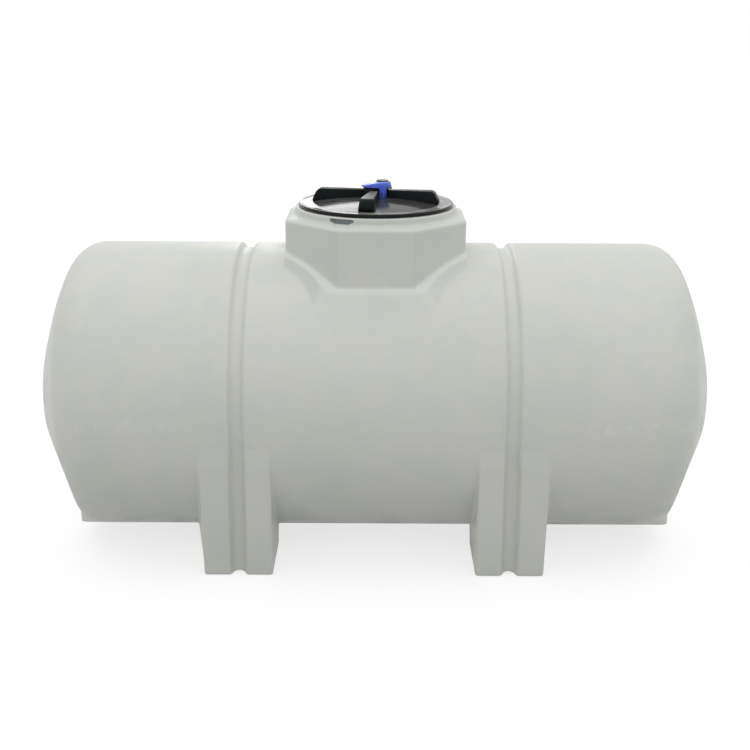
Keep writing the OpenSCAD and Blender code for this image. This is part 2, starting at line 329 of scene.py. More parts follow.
def twin(obj, name):
    """A copy with its own mesh."""
    copy = obj.copy()
    copy.data = obj.data.copy()
    bpy.context.scene.collection.objects.link(copy)
    return rename(copy, name)


def flip(obj, axis):
    """Mirrors a piece through the middle plane across an axis."""
    hold(obj)
    obj.scale[axis] = -1
    settle()
    edit_all(obj)
    bpy.ops.mesh.normals_make_consistent(inside=False)
    leave_edit()
    return obj


def turned(name, outline, centre, axis, reach, steps):
    """A lathe piece: a half outline of (along, out) points, spun about an axis.
    reach is the direction in which the outline's second number is measured."""
    clear_bench()
    centre, axis, reach = Vector(centre), Vector(axis), Vector(reach)
    points = [centre + axis * along + reach * out for along, out in outline]
    bpy.ops.mesh.primitive_plane_add(size=0.01, location=points[0])
    obj = added(name)
    settle()
    bpy.ops.object.mode_set(mode="EDIT")
    bpy.ops.mesh.select_mode(type="VERT")
    bpy.ops.mesh.select_all(action="SELECT")
    bpy.ops.mesh.merge(type="CENTER")
    bpy.ops.mesh.select_all(action="SELECT")
    for before, after in zip(points, points[1:]):
        bpy.ops.mesh.extrude_region_move(
            TRANSFORM_OT_translate={"value": after - before})
    bpy.ops.mesh.select_all(action="SELECT")
    bpy.ops.mesh.spin(steps=steps, angle=2 * math.pi, center=centre, axis=axis)
    bpy.ops.mesh.select_all(action="SELECT")
    bpy.ops.mesh.remove_doubles(threshold=1e-5)
    bpy.ops.mesh.normals_make_consistent(inside=False)
    leave_edit()
    return obj


def arc(centre, radius, start, stop, steps):
    """Points on an arc, angles in degrees from the outline's first axis."""
    angles = [math.radians(start + (stop - start) * i / steps) for i in range(steps + 1)]
    return [(centre[0] + radius * math.cos(a), centre[1] + radius * math.sin(a)) for a in angles]


# ---- the moulded shell ----

overlap = 0.02


def barrel_half(name, inset):
    """Right half of the barrel with its strap groove and its domed end, drawn in by the
    inset and run a little past the middle."""
    out = barrel_r - inset
    lip, foot = groove_mouth / 2, groove_floor / 2
    shift = inset * (math.hypot(lip - foot, groove_d) - (lip - foot)) / groove_d
    lip, foot = lip + shift, foot + shift
    meet = math.degrees(math.atan2(barrel_r - knuckle_r, dome_back))
    outline = [(-overlap, 0), (-overlap, out)]
    outline += [(groove_x - lip, out), (groove_x - foot, out - groove_d)]
    outline += [(groove_x + foot, out - groove_d), (groove_x + lip, out)]
    outline += arc((half_len, barrel_r - knuckle_r), knuckle_r - inset, 90, meet, 14)
    outline += arc((half_len - dome_back - dome_cross, 0), dome_r - inset, meet, 0, 28)[1:]
    body = turned(name, outline, (0, 0, axis_z), (1, 0, 0), (0, 0, 1), 240)
    if not inset:
        fill_out(body)
    face_x = half_len + end_depth + slant_out - slant_r * math.cos(slant)
    face_z = axis_z + slant_r * math.sin(slant)
    face = rod("slant", slant_r - inset, 3, (face_x, 0, face_z), (0, slant, 0), 480)
    return combine(body, face, "INTERSECT")


def fill_out(body):
    """Pulls the dome out softly on both sides of its middle, just above the parting line."""
    for side in (1, -1):
        pick_points(body, lambda p: p.x > half_len and swell_near < side * p.y < swell_far
                    and abs(p.z - axis_z - swell_up) < swell_band)
        bpy.ops.transform.translate(
            value=(swell_out, 0, 0), use_proportional_edit=True,
            proportional_edit_falloff="SMOOTH", proportional_size=swell_reach)
        leave_edit()


def drain_boss():
    """Boss at the foot of an end, flush with the belly, its sides run out along the barrel."""
    root_x, face_x = half_len - boss_run, boss_high.x
    boss = block("boss", (root_x, boss_low.y, boss_low.z - hair), boss_high)
    pick_faces(boss, lambda c, n: n.x < -0.5)
    grow((1, boss_spread, 1), (root_x, 0, axis_z))
    pick_edges(boss, lambda a, b: min(a.x, b.x) > face_x - hair and abs(a.y - b.y) < 0.01)
    round_edges(boss_corner, 4)
    pick_edges(boss, lambda a, b: min(a.x, b.x) > face_x - hair
               and min(a.z, b.z) > boss_high.z - hair)
    round_edges(boss_edge, 3)
    under = rod("under", barrel_r - belly_gap, 1, (half_len, 0, axis_z), along_x, 240)
    return combine(boss, under, "INTERSECT")


def leg_groove():
    """Bar that cuts the strap groove down the outer face of a leg."""
    past = 0.04
    groove = block("leg groove", (-groove_mouth / 2, -barrel_r - past, -0.6),
                   (groove_mouth / 2, -barrel_r + groove_d, 0.02))
    pick_faces(groove, lambda c, n: n.y > 0.5)
    grow((groove_floor / groove_mouth, 1, 1), (0, 0, 0))
    pick_faces(groove, lambda c, n: n.y < -0.5)
    grow((1 + past / groove_d * (1 - groove_floor / groove_mouth), 1, 1), (0, 0, 0))
    tilt(groove, (leg_lean, 0, 0))
    return tilt(groove, (0, -leg_splay, 0), (groove_x, 0, axis_z))


def leg(knee_flare, top_flare):
    """Front right leg, its top buried in the barrel. The flares say how far the back of
    the outboard side stands out at the level of the belly and at the top."""
    face_y = -barrel_r * math.cos(leg_lean) - leg_lap
    top_z = axis_z - barrel_r * math.sin(leg_lean)
    knee_z = axis_z - barrel_r + knee_rise
    toe_y = face_y + top_z * math.tan(leg_lean)
    heel_y = toe_y + foot_d
    back_y = heel_y + top_z * math.tan(leg_back_lean)
    behind = toe_y + leg_mid
    splay_out = axis_z * math.tan(leg_splay)
    inboard, outboard = groove_x - leg_w / 2 + leg_in, groove_x + leg_w / 2 + leg_out
    piece = block("leg", (inboard, toe_y, 0), (outboard, heel_y, top_z))
    pick_top(piece)
    grow((1, (back_y - face_y) / foot_d, 1), (groove_x, toe_y, top_z))
    slide((0, face_y - toe_y, 0))
    pick_faces(piece, lambda c, n: n.z < -0.5)
    slide((splay_out - foot_in, 0, 0))
    score(piece, knee_z)
    # the outer face stands a little proud of the barrel from just below its top
    score(piece, top_z - leg_ramp)
    pick_points(piece, lambda p: p.y < behind and p.z < top_z - leg_ramp / 2)
    slide((0, -leg_proud, 0))
    for flare, low, high in ((leg_flare, -1, 0.01), (knee_flare, 0.01, knee_z + 0.01),
                             (top_flare, top_z - leg_ramp - 0.01, 1)):
        pick_points(piece, lambda p: p.x > groove_x and p.y > behind and low < p.z < high)
        slide((flare, 0, 0))
    pick_edges(piece, lambda a, b: abs(a.z - b.z) > 0.03 or max(a.z, b.z) < 0.01)
    round_edges(leg_edge)
    combine(piece, leg_groove(), "DIFFERENCE")
    # the groove runs out in a rounded hollow under the foot
    clear_bench()
    bpy.ops.mesh.primitive_uv_sphere_add(
        segments=48, ring_count=24, radius=1,
        location=(groove_x + splay_out, toe_y, foot_hollow_z), scale=foot_hollow)
    settle()
    return combine(piece, added("foot hollow"), "DIFFERENCE")


def neck_prism(name, across, low, high, corner):
    """Upright eight-sided bar with softened corners."""
    piece = rod(name, across / 2 / math.cos(math.pi / 8), high - low, (0, 0, (low + high) / 2),
                (0, 0, math.pi / 8), 8)
    pick_edges(piece, lambda a, b: abs(a.z - b.z) > 0.01)
    round_edges(corner, 5)
    return piece


def neck_base():
    """Flared base that runs from the front of the neck onto the barrel."""
    axis = Vector((0, 0, axis_z))
    inner = 0.05
    piece = block("base", (-neck_half, -barrel_r, axis_z - inner), (neck_half, -inner, neck_top))
    front = Vector((0, -math.cos(base_touch), math.sin(base_touch)))
    cut_plane(piece, axis + front * (barrel_r + base_proud), front)
    cut_plane(piece, axis, Vector((0, -math.sin(base_touch), -math.cos(base_touch))))
    for side in (1, -1):
        cheek = Vector((side * cheek_normal.x, cheek_normal.y, cheek_normal.z))
        cut_plane(piece, axis + cheek * cheek_far, cheek)
    pick_edges(piece, lambda a, b: on_cheek_edge(a - axis, b - axis, front))
    round_edges(cheek_round, 6)
    over_barrel = rod("over barrel", barrel_r + ledge_h, 4 * neck_half, axis, along_x, 256)
    return combine(piece, over_barrel, "INTERSECT")


def on_cheek_edge(a, b, front):
    """True for the two lines where the cheeks meet the front of the base."""
    on_front = all(abs(p.dot(front) - barrel_r) < 0.002 for p in (a, b))
    return on_front and abs(a.z - b.z) > 0.02 and abs(a.x) > 0.02


def soften(obj, size, rounds):
    """Skins a solid evenly and rounds every edge, as a mould does."""
    modify(obj, "REMESH", mode="VOXEL", voxel_size=size, use_smooth_shade=True)
    return modify(obj, "SMOOTH", factor=0.5, iterations=rounds)


def join_pair(body, front, name):
    """Joins a piece and its mirror image at the rear to a body."""
    rear = flip(twin(front, name), 1)
    combine(body, front, "UNION")
    return combine(body, rear, "UNION")


def shell_half(flares):
    half = combine(barrel_half("shell", 0), drain_boss(), "UNION")
    return join_pair(half, leg(*flares), "rear leg")


right_flares = (0.030, 0.060)
left_flares = (0.046, 0.075)
shell = shell_half(right_flares)
combine(shell, flip(shell_half(left_flares), 0), "UNION")
join_pair(shell, neck_base(), "rear base")
combine(shell, neck_prism("neck foot", 2 * neck_half, axis_z + 0.2, neck_top, neck_corner),
        "UNION")

# the foot of the neck and the legs are skinned more finely than the rest
collar_x = 0.29
collar_z = 0.665
leg_zone_in = groove_x - 0.125
leg_zone_out = groove_x + 0.200
leg_zone_z = 0.425
spare = 0.03


def collar_zone(extra):
    """Room round the foot of the neck."""
    return block("collar zone", (-collar_x - extra, -1, collar_z - extra),
                 (collar_x + extra, 1, 2))


def leg_zone(side, extra, back):
    """Room round the legs of one side, from the front to y = back."""
    ends = sorted((side * (leg_zone_in - extra), side * (leg_zone_out + extra)))
    return block("leg zone", (ends[0], -1, -1), (ends[1], back, leg_zone_z + extra))


collar = combine(twin(shell, "collar"), collar_zone(spare), "INTERSECT")
soften(collar, neck_voxel, 3)
stands = {}
for side, word in sides:
    stand = combine(twin(shell, "stand"), leg_zone(side, spare, spare), "INTERSECT")
    stands[word] = soften(stand, leg_voxel, 3)
soften(shell, shell_voxel, 4)
combine(shell, collar_zone(0), "DIFFERENCE")
for side, _ in sides:
    combine(shell, leg_zone(side, 0, 1), "DIFFERENCE")

# ---- the neck above the shell, its shoulder, lip and pry notch ----

neck_cut = axis_z + barrel_r + 0.025


def pry_notch():
    """Block that cuts the notch, wider at its top than at its foot."""
    notch = block("notch", (-notch_w / 4, -lip_r - 0.05, lip_z + hair),
                  (notch_w / 4, -lip_r + notch_d, lip_top - notch_roof))
    pick_top(notch)
    grow((2, 1, 1), (0, 0, 0))
    return tilt(notch, (0, 0, -notch_turn))


def neck_head():
    """Top of the neck: eight walls, a shoulder that rises to a round lip, and the notch."""
    head = neck_prism("neck", 2 * neck_half, neck_cut - 0.02, neck_top, neck_corner)
    round_top(head, neck_top, neck_edge)
    shoulder = neck_prism("shoulder", 2 * neck_half - shoulder_in, neck_top - 0.003, neck_top,
                          0.010)
    combine(shoulder, upright("rise", lip_r + lip_flare, neck_top, lip_z, 128), "UNION")
    edit_all(shoulder)
    bpy.ops.mesh.convex_hull()
    combine(head, shoulder, "UNION")
    lip = upright("lip", lip_r, lip_z - 0.01, lip_top, 160)
    round_top(lip, lip_top, lip_edge)
    combine(lip, pry_notch(), "DIFFERENCE")
    return combine(head, lip, "UNION")


neck = soften(neck_head(), neck_voxel, 2)

# ---- hollow inside, and the parts of the shell ----

hollow = barrel_half("hollow", wall)
combine(hollow, flip(twin(hollow, "left hollow"), 0), "UNION")
throat = neck_prism("throat", 2 * (neck_half - wall), axis_z, neck_top - wall, throat_corner)
combine(hollow, throat, "UNION")
combine(hollow, rod("mouth", manway_r, 0.2, (0, 0, neck_top), corners=160), "UNION")
combine(neck, hollow, "DIFFERENCE", keep=True)
combine(collar, hollow, "DIFFERENCE", keep=True)
for side, word in sides:
    stand = combine(stands[word], hollow, "DIFFERENCE", keep=True)
    cut_plane(stand, (0, 0, leg_zone_z), (0, 0, 1))
    cut_plane(stand, (0, 0, 0), (0, 1, 0))
    cut_plane(stand, (side * leg_zone_in, 0, 0), (-side, 0, 0))
    cut_plane(stand, (side * leg_zone_out, 0, 0), (side, 0, 0))
    rename(stand, "front_" + word + "_stand")
combine(shell, hollow, "DIFFERENCE")
cut_plane(neck, (0, 0, neck_cut), (0, 0, -1))
cut_plane(collar, (0, 0, neck_cut), (0, 0, 1))
cut_plane(collar, (0, 0, collar_z), (0, 0, -1))
cut_plane(collar, (collar_x, 0, 0), (1, 0, 0))
cut_plane(collar, (-collar_x, 0, 0), (-1, 0, 0))
rename(collar, "neck_foot")
rename(neck, "neck_head")
rename(shell, "middle_shell")
cap_x = half_len - 0.03
shells = {}
for side, word in sides:
    run, cap = twin(shell, word + "_shell"), twin(shell, word + "_end_cap")
    cut_plane(run, (side * groove_x, 0, 0), (-side, 0, 0))
    cut_plane(run, (side * cap_x, 0, 0), (side, 0, 0))
    cut_plane(cap, (side * cap_x, 0, 0), (-side, 0, 0))
    shells[word] = run, cap
for side, _ in sides:
    cut_plane(shell, (side * groove_x, 0, 0), (side, 0, 0))

# ---- the lid ----

def crown_line(level, rise, foot, steps):
    """Points of a shallow dome, from its middle out to its foot."""
    ball = (foot ** 2 + rise ** 2) / (2 * rise)
    return [(level + rise - ball + math.sqrt(ball ** 2 - (foot * k / steps) ** 2), foot * k / steps)
            for k in range(steps + 1)]


def lid_cover():
    """Dome, valley, rolled rim and hollow plug, turned in one piece."""
    rim_top = rim_z + 0.0098
    skirt_r = plug_r - plug_wall
    top = crown_line(disc_top, crown_rise, crown_r, 24)[:-1]
    valley = [(disc_top + 0.0006, 0.1825), (disc_top - 0.0006, 0.187),
              (disc_top - 0.0014, 0.193), (disc_top - 0.0014, 0.200),
              (disc_top - 0.0006, 0.206), (disc_top + 0.0004, 0.2105)]
    rolled = [(rim_top - 0.0004, 0.2140), (rim_top, 0.2160), (rim_top - 0.0004, 0.2180),
              (rim_top - 0.0016, 0.2195), (rim_top - 0.0034, lid_r), (rim_z + 0.0012, lid_r),
              (rim_z, lid_r - 0.001), (rim_z, lid_r - 0.004), (brim_z, lid_r - 0.005)]
    plug = [(brim_z, plug_r + 0.002), (brim_z - 0.002, plug_r), (plug_low + 0.001, plug_r),
            (plug_low, plug_r - 0.001), (plug_low, plug_r - 0.004),
            (plug_low + 0.001, skirt_r), (brim_z - 0.001, skirt_r)]
    under = crown_line(brim_z, crown_rise, crown_r - 0.005, 24)[::-1]
    outline = top + valley + rolled + plug + under
    return turned("lid_cover", outline, (0, 0, 0), (0, 0, 1), (1, 0, 0), 256)


def gasket_ring():
    """Flat ring with its four corners cut off."""
    low, high = gasket_low.z, gasket_high.z
    inner, outer, off = manway_r + 0.001, gasket_high.x, 0.0012
    outline = [(low, inner + off), (low, outer - off), (low + off, outer), (high - off, outer),
               (high, outer - off), (high, inner + off), (high - off, inner), (low + off, inner),
               (low, inner + off)]
    return turned("gasket_ring", outline, (0, 0, 0), (0, 0, 1), (1, 0, 0), 128)


def grip_arm(name, turn):
    """One bar of the cross grip: sides drawn in, its end sloped above a short upright toe."""
    low, high, half = disc_top - 0.001, grip_top, 0.023
    root, tip, slope, toe = 0.018, 0.180, 0.013, 0.009
    root_narrowing, top_narrowing = 0.60, (half - 0.004) / half
    nose_round, edge_round = 0.011, 0.0028
    arm = block(name, (root, -half, low), (tip, half, high))
    pick_points(arm, lambda p: p.x < root + 0.002)
    grow((1, root_narrowing, 1), (0, 0, 0))
    score(arm, low + toe)
    pick_points(arm, lambda p: p.z > high - hair)
    grow((1, top_narrowing, 1), (0, 0, 0))
    pick_points(arm, lambda p: p.z > high - hair and p.x > tip - hair)
    slide((-slope, 0, 0))
    pick_edges(arm, lambda a, b: min(a.x, b.x) > tip - 0.018 and min(a.z, b.z) > high - hair)
    round_edges(nose_round, 5)
    pick_edges(arm, lambda a, b: abs(a.y - b.y) < 0.012 and max(a.z, b.z) > low + 0.002
               and max(a.x, b.x) > 0.03)
    round_edges(edge_round)
    modify(arm, "WEIGHTED_NORMAL")
    return tilt(arm, (0, 0, grip_turn + turn))


def hub_boss():
    """Round boss in the middle of the grip, slightly narrower at its top."""
    hub = upright("hub", hub_r, disc_top, hub_top)
    pick_top(hub)
    grow((0.94, 0.94, 1), (0, 0, 0))
    round_top(hub, hub_top, 0.005, 4)
    return hub


def vent_knob():
    """Vent cap: ribbed side, rounded shoulder and a dished top."""
    shoulder_w, shoulder_d = 0.0015, 0.004
    edge_w, dish_d = 0.004, 0.0012
    cap = rod("vent", cap_r, cap_high.z - cap_low.z, cap_mid, corners=vent_ribs)
    pick_top(cap)
    bpy.ops.mesh.inset(thickness=shoulder_w, depth=0)
    pick_points(cap, lambda p: p.z > cap_high.z - hair
                and (p - cap_mid).to_2d().length > cap_r - shoulder_w / 3)
    slide((0, 0, -shoulder_d))
    pick_faces(cap, lambda c, n: n.z > 0.9 and c.z > cap_high.z - hair)
    bpy.ops.mesh.inset(thickness=edge_w, depth=0)
    slide((0, 0, -dish_d))
    pick_faces(cap, on_vent_rib)
    bpy.ops.mesh.inset(thickness=0.0003, depth=-0.0008, use_individual=True)
    leave_edit()
    return cap


def on_vent_rib(centre, normal):
    """True for every second face of the vent cap's side."""
    angle = math.degrees(math.atan2(centre.y - cap_mid.y, centre.x - cap_mid.x))
    return abs(normal.z) < 0.3 and round(angle / (360 / vent_ribs)) % 2 == 0


def blue_clip():
    """Strap over the front of the hub, thin on the left and thick on the right, with a
    tongue let down between two bars."""
    gap, thin, thick, crest = 0.0003, 0.003, 0.013, 0.006
    inner = hub_r + gap
    outer = inner + 0.004
    plate, foot = hub_top + gap, disc_top + crown_rise + gap
    tongue_x, tongue_w = 0.0157, 0.017
    clip = rod("clip", outer, thick, (0, 0, plate + thick / 2), corners=128)
    cut_plane(clip, (0, 0, 0), (0, 1, 0))
    cut_plane(clip, (crest, 0, plate + thick), (-(thick - thin) / (outer + crest), 0, 1))
    tongue = upright("tongue", outer, foot, plate + 0.002, 128)
    combine(tongue, rod("bore", inner, 0.2, (0, 0, plate), corners=128), "DIFFERENCE")
    combine(tongue, block("tongue zone", (tongue_x, -0.1, 0), (tongue_x + tongue_w, 0, 2)),
            "INTERSECT")
    combine(clip, tongue, "UNION")
    tilt(clip, (0, 0, grip_turn))
    combine(clip, rod("cap room", cap_r + gap, 0.2, cap_mid, corners=96), "DIFFERENCE")
    return modify(clip, "BEVEL", width=0.0009, segments=2, limit_method="ANGLE",
                  angle_limit=math.radians(40))


grip_turns = {"right_grip": 0, "rear_grip": 90, "left_grip": 180, "front_grip": 270}
cover = lid_cover()
ring = gasket_ring()
arms = {node: grip_arm(node.replace("grip", "arm"), math.radians(turn))
        for node, turn in grip_turns.items()}
hub = hub_boss()
vent = vent_knob()
clip = blue_clip()


# ---- finishes ----

class Flow:
    """A value or colour on its way through a finish; sums written with it add nodes."""

    def __init__(self, finish, socket):
        self.finish, self.socket = finish, socket

    def sum(self, how, *parts):
        return self.finish.node("ShaderNodeMath", {"operation": how}, dict(enumerate(parts)))

    def __add__(self, other):
        return self.sum("ADD", self, other)

    def __sub__(self, other):
        return self.sum("SUBTRACT", self, other)

    def __rsub__(self, other):
        return self.sum("SUBTRACT", other, self)

    def __mul__(self, other):
        return self.sum("MULTIPLY", self, other)

    def __pow__(self, other):
        return self.sum("POWER", self, other)

    __radd__, __rmul__ = __add__, __mul__

    def size(self):
        """The value without its sign."""
        return self.sum("ABSOLUTE", self)

    def most(self, other):
        """The larger of two values."""
        return self.sum("MAXIMUM", self, other)


class Nodes:
    """A tree of shader nodes, built node by node."""

    def __init__(self, tree):
        self.tree = tree

    def node(self, kind, settings, inputs, output=0):
        """Adds a node: its settings first, then its sockets' values or links."""
        made = self.tree.nodes.new(kind)
        for key, value in settings.items():
            setattr(made, key, value)
        for key, value in inputs.items():
            self.feed(made.inputs[key], value)
        return Flow(self, made.outputs[output])

    def feed(self, socket, value):
        if isinstance(value, Flow):
            self.tree.links.new(value.socket, socket)
        else:
            socket.default_value = value

    def shown(self):
        """1 for what the camera or a gloss sees, 0 for what lights the object."""
        seen = self.node("ShaderNodeLightPath", {}, {}, "Is Camera Ray")
        return seen.most(self.node("ShaderNodeLightPath", {}, {}, "Is Glossy Ray"))


class Finish(Nodes):
    """One material and its shader."""

    def __init__(self, name, **constants):
        self.material = bpy.data.materials.new(name)
        self.material.use_nodes = True
        super().__init__(self.material.node_tree)
        self.surface = self.tree.nodes["Principled BSDF"]
        self.wear(**constants)
        self.place = self.node("ShaderNodeTexCoord", {}, {}, "Object")

    def wear(self, **feeds):
        """Gives values and flows to the shader's own sockets."""
        for key, value in feeds.items():
            self.feed(self.surface.inputs[key.replace("_", " ")], value)
        return self.material

    def noise(self, scale, detail=2.0, rough=0.5, place=None):
        return self.node("ShaderNodeTexNoise", {}, {
            "Vector": place or self.place, "Scale": scale, "Detail": detail, "Roughness": rough})

    def mapped(self, turn, stretch=(1, 1, 1)):
        """The place, turned about the upright axis and stretched."""
        return self.node("ShaderNodeMapping", {"vector_type": "POINT"},
                         {"Vector": self.place, "Rotation": (0, 0, turn), "Scale": stretch})

    def axes(self, place):
        """The three numbers of a place."""
        parts = self.node("ShaderNodeSeparateXYZ", {}, {"Vector": place}).socket.node.outputs
        return [Flow(self, part) for part in parts]

    def between(self, flow, low, high, to_low=0.0, to_high=1.0):
        """Reads off a value between two levels, smoothly, onto two new ones."""
        return self.node("ShaderNodeMapRange", {"interpolation_type": "SMOOTHSTEP"},
                         {0: flow, 1: low, 2: high, 3: to_low, 4: to_high})

    def fade(self, flow, low, high):
        """1 below the first level, 0 above the second."""
        return self.between(flow, low, high, 1.0, 0.0)

    def blend(self, share, first, second):
        return self.node("ShaderNodeMix", {"data_type": "RGBA"},
                         {0: share, 6: first, 7: second}, 2)

    def bump(self, height, depth):
        return self.node("ShaderNodeBump", {},
                         {"Height": height, "Distance": depth, "Strength": 1.0})

    def top_facing(self, low, high):
        """How much a surface faces the sky."""
        normal = self.node("ShaderNodeNewGeometry", {}, {}, "True Normal")
        return self.between(self.axes(normal)[2], low, high)


def paint(red, green, blue):
    """A colour as it is seen, from 0 to 255, turned into the shader's own scale."""
    return tuple((c / 255 / 12.92 if c <= 10 else ((c / 255 + 0.055) / 1.055) ** 2.4)
                 for c in (red, green, blue)) + (1.0,)


scuff_up = 0.012
square_half = math.sqrt(0.5)


def shell_colour(name):
    """Natural polyethylene: milky grey-green with faint clouding. Gives the finish, its
    colour and its clouding."""
    f = Finish(name, Roughness=0.46, IOR=1.5)
    across, depth, height = f.axes(f.place)
    wide, deep = across.size(), depth.size()
    cloud = f.between(f.noise(2.6, 3.0, 0.55), 0.35, 0.65)
    patch = f.between(f.noise(11.0, 4.0, 0.6), 0.42, 0.66)
    body = f.blend(cloud, paint(212, 215, 207), paint(216, 217, 211))
    body = f.blend(patch * 0.4, body, paint(206, 213, 208))
    # pale scuffs just above where the two mould halves met, out towards the ends
    scuff = f.fade((height - axis_z - scuff_up).size(), 0.006, 0.026)
    scuff = scuff * f.between(wide, 0.46, 0.62)
    scuff = scuff * f.between(f.noise(46.0, 3.0, 0.6), 0.50, 0.68)
    body = f.blend(scuff * 0.35, body, paint(234, 236, 231))
    # painted shade: the neck's slanting walls and its shoulder are darkened a touch
    corner = f.fade(((wide + deep) * square_half - neck_half).size(), 0.002, 0.006)
    corner = corner * f.fade(wide.most(deep), neck_half + 0.001, neck_half + 0.004)
    corner = corner * f.between(height, 0.78, 0.80)
    shoulder = f.between(height, neck_top - 0.006, neck_top - 0.001)
    body = f.blend(corner.most(shoulder) * 0.22, body, paint(192, 197, 191))
    return f, body, patch


def shell_skin(f, body, patch):
    """Gives a shell colour its satin, and the fine grain and slow swells of the mould."""
    skin = f.bump(f.noise(420.0) * 0.10 + f.noise(9.0), 0.0010)
    satin = f.between(patch, 0.0, 1.0, 0.42, 0.52)
    return f.wear(Base_Color=body, Roughness=satin, Normal=skin)


def barrel_shell():
    return shell_skin(*shell_colour("natural polyethylene"))


def neck_shell():
    """The head of the neck, with painted shade in the pry notch."""
    f, body, patch = shell_colour("natural neck")
    along, depth, level = f.axes(f.mapped(notch_turn))
    out = depth * -1.0
    floor = lip_r - notch_d
    # painted shade: the pry notch, under the lid's rim, is darkened to a blue grey
    inside = f.fade(along.size(), notch_w / 2 - 0.010, notch_w / 2 - 0.004)
    inside = inside * f.fade(out, lip_r - 0.005, lip_r - 0.001)
    inside = inside * f.between(out, floor - 0.006, floor - 0.003)
    inside = inside * f.between(level, lip_z - 0.002, lip_z + 0.002)
    inside = inside * f.fade(level, lip_top - 0.0055, lip_top - 0.0035)
    return shell_skin(f, f.blend(inside * 0.75, body, paint(108, 118, 124)), patch)


def neck_foot_shell():
    """The shell where the neck runs onto the barrel: a painted highlight along the step round the
    neck's foot, and painted shade on the cheeks.
    """
    f, body, patch = shell_colour("natural neck foot")
    across, depth, height = f.axes(f.place)
    wide, deep, rise = across.size(), depth.size(), height - axis_z
    level = (deep * deep + rise * rise) ** 0.5 - (barrel_r + ledge_h)
    off_wall = deep.most((wide + deep) * square_half) - neck_half
    # painted highlight: a pale line along the top of the step, where it catches the light
    painted_ledge_light = f.fade(level.size(), 0.0015, 0.0045) * f.between(off_wall, 0.001, 0.004)
    body = f.blend(painted_ledge_light * 0.35, body, paint(236, 239, 234))
    cheek = wide * cheek_normal.x - deep * cheek_normal.y + rise * cheek_normal.z - cheek_far
    front = deep * math.cos(base_touch) + rise * math.sin(base_touch) - barrel_r
    # painted shade: the cheeks are darkened, the left one more than the right
    painted_cheek_shade = f.fade(cheek.size(), 0.001, 0.004) * f.fade(level, -0.006, -0.002)
    painted_cheek_shade = painted_cheek_shade * f.fade(front, -0.012, -0.004) * f.between(across, -0.02, 0.02, 1.0, 0.55)
    painted_cheek_shade = painted_cheek_shade * f.fade(wide, neck_half + 0.001, neck_half + 0.005)
    return shell_skin(f, f.blend(painted_cheek_shade * 0.7, body, paint(196, 202, 198)), patch)


def lid_black():
    """Glossy black moulding with a painted reflection: a streaky pale sheen on what faces up, most
    of it on the left and on the brim."""
    f = Finish("black lid", Roughness=0.16, IOR=1.28)
    streaks = f.noise(1.0, 4.0, 0.6, f.mapped(0.35, (7.0, 40.0, 7.0)))
    across, depth, _ = f.axes(f.place)
    # painted reflection: the pale sheen below is strongest on the left and on the brim, where the
    # lid mirrors the sky
    left = f.between(across, -0.13, 0.10, 0.70, 0.38)
    out = (across * across + depth * depth) ** 0.5
    brim = f.between(out, crown_r - 0.006, crown_r + 0.004)
    painted_sheen_spread = (left * (brim * 0.4 + 0.55)).most(brim)
    film = f.top_facing(0.75, 0.98) * f.between(streaks, 0.34, 0.66, 0.45, 1.0) * painted_sheen_spread
    body = f.blend(film * 0.86, paint(15, 16, 17), paint(152, 153, 148))
    rough = f.between(streaks, 0.3, 0.7, 0.10, 0.22)
    return f.wear(Base_Color=body, Roughness=rough, Normal=f.bump(streaks, 0.0003))


def grip_black(name, dust_and_sheen):
    """Satin black of the grip bars and hub: fine grain, and a pale dusty film on the tops, which is
    also a painted sheen.
    """
    f = Finish(name, Roughness=0.42, IOR=1.2)
    grain = f.noise(520.0)
    wide = f.noise(24.0, 3.0, 0.6)
    # pale film on the tops: partly dust, partly painted sheen
    film = f.top_facing(0.8, 0.98) * f.between(wide, 0.3, 0.7, 0.6, 1.0)
    body = f.blend(film * dust_and_sheen, paint(17, 24, 26), paint(196, 195, 186))
    rough = f.between(wide, 0.3, 0.7, 0.36, 0.5)
    return f.wear(Base_Color=body, Roughness=rough, Normal=f.bump(grain * 0.2 + wide, 0.0003))


def vent_olive():
    """Black vent cap with a weathered olive-grey top."""
    f = Finish("vent cap", Roughness=0.45, IOR=1.4)
    wide = f.noise(60.0, 3.0, 0.6)
    film = f.top_facing(0.7, 0.95) * f.between(wide, 0.25, 0.75, 0.7, 1.0)
    body = f.blend(film, paint(17, 20, 22), paint(134, 140, 122))
    rough = f.between(wide, 0.3, 0.7, 0.38, 0.55)
    return f.wear(Base_Color=body, Roughness=rough, Normal=f.bump(wide, 0.0003))


def soft_rubber():
    """Matt dark rubber of the gasket."""
    f = Finish("gasket rubber", Roughness=0.6, IOR=1.5)
    grain = f.noise(300.0, 3.0, 0.6)
    body = f.blend(grain, paint(26, 26, 26), paint(38, 38, 37))
    rough = f.between(grain, 0.3, 0.7, 0.55, 0.7)
    return f.wear(Base_Color=body, Roughness=rough, Normal=f.bump(grain, 0.0003))


def clip_blue():
    """Bright blue clip, with painted shade down its tongue, and slightly scuffed along its edges.
    """
    f = Finish("blue clip", Roughness=0.3, IOR=1.46)
    wide = f.noise(85.0, 3.0, 0.6)
    edge = f.between(f.node("ShaderNodeNewGeometry", {}, {}, "Pointiness"), 0.51, 0.56)
    # painted shade: the tongue darkens towards its foot, beside the arm
    down = f.between(f.axes(f.place)[2], hub_top - 0.026, hub_top - 0.004, 0.85, 0.0)
    body = f.blend(f.between(wide, 0.3, 0.7), paint(58, 86, 218), paint(86, 116, 240))
    body = f.blend(down, body, paint(16, 28, 92))
    body = f.blend(edge * 0.35, body, paint(126, 150, 240))
    rough = f.between(wide, 0.3, 0.7, 0.24, 0.4)
    return f.wear(Base_Color=body, Roughness=rough, Normal=f.bump(f.noise(300.0), 0.0002))


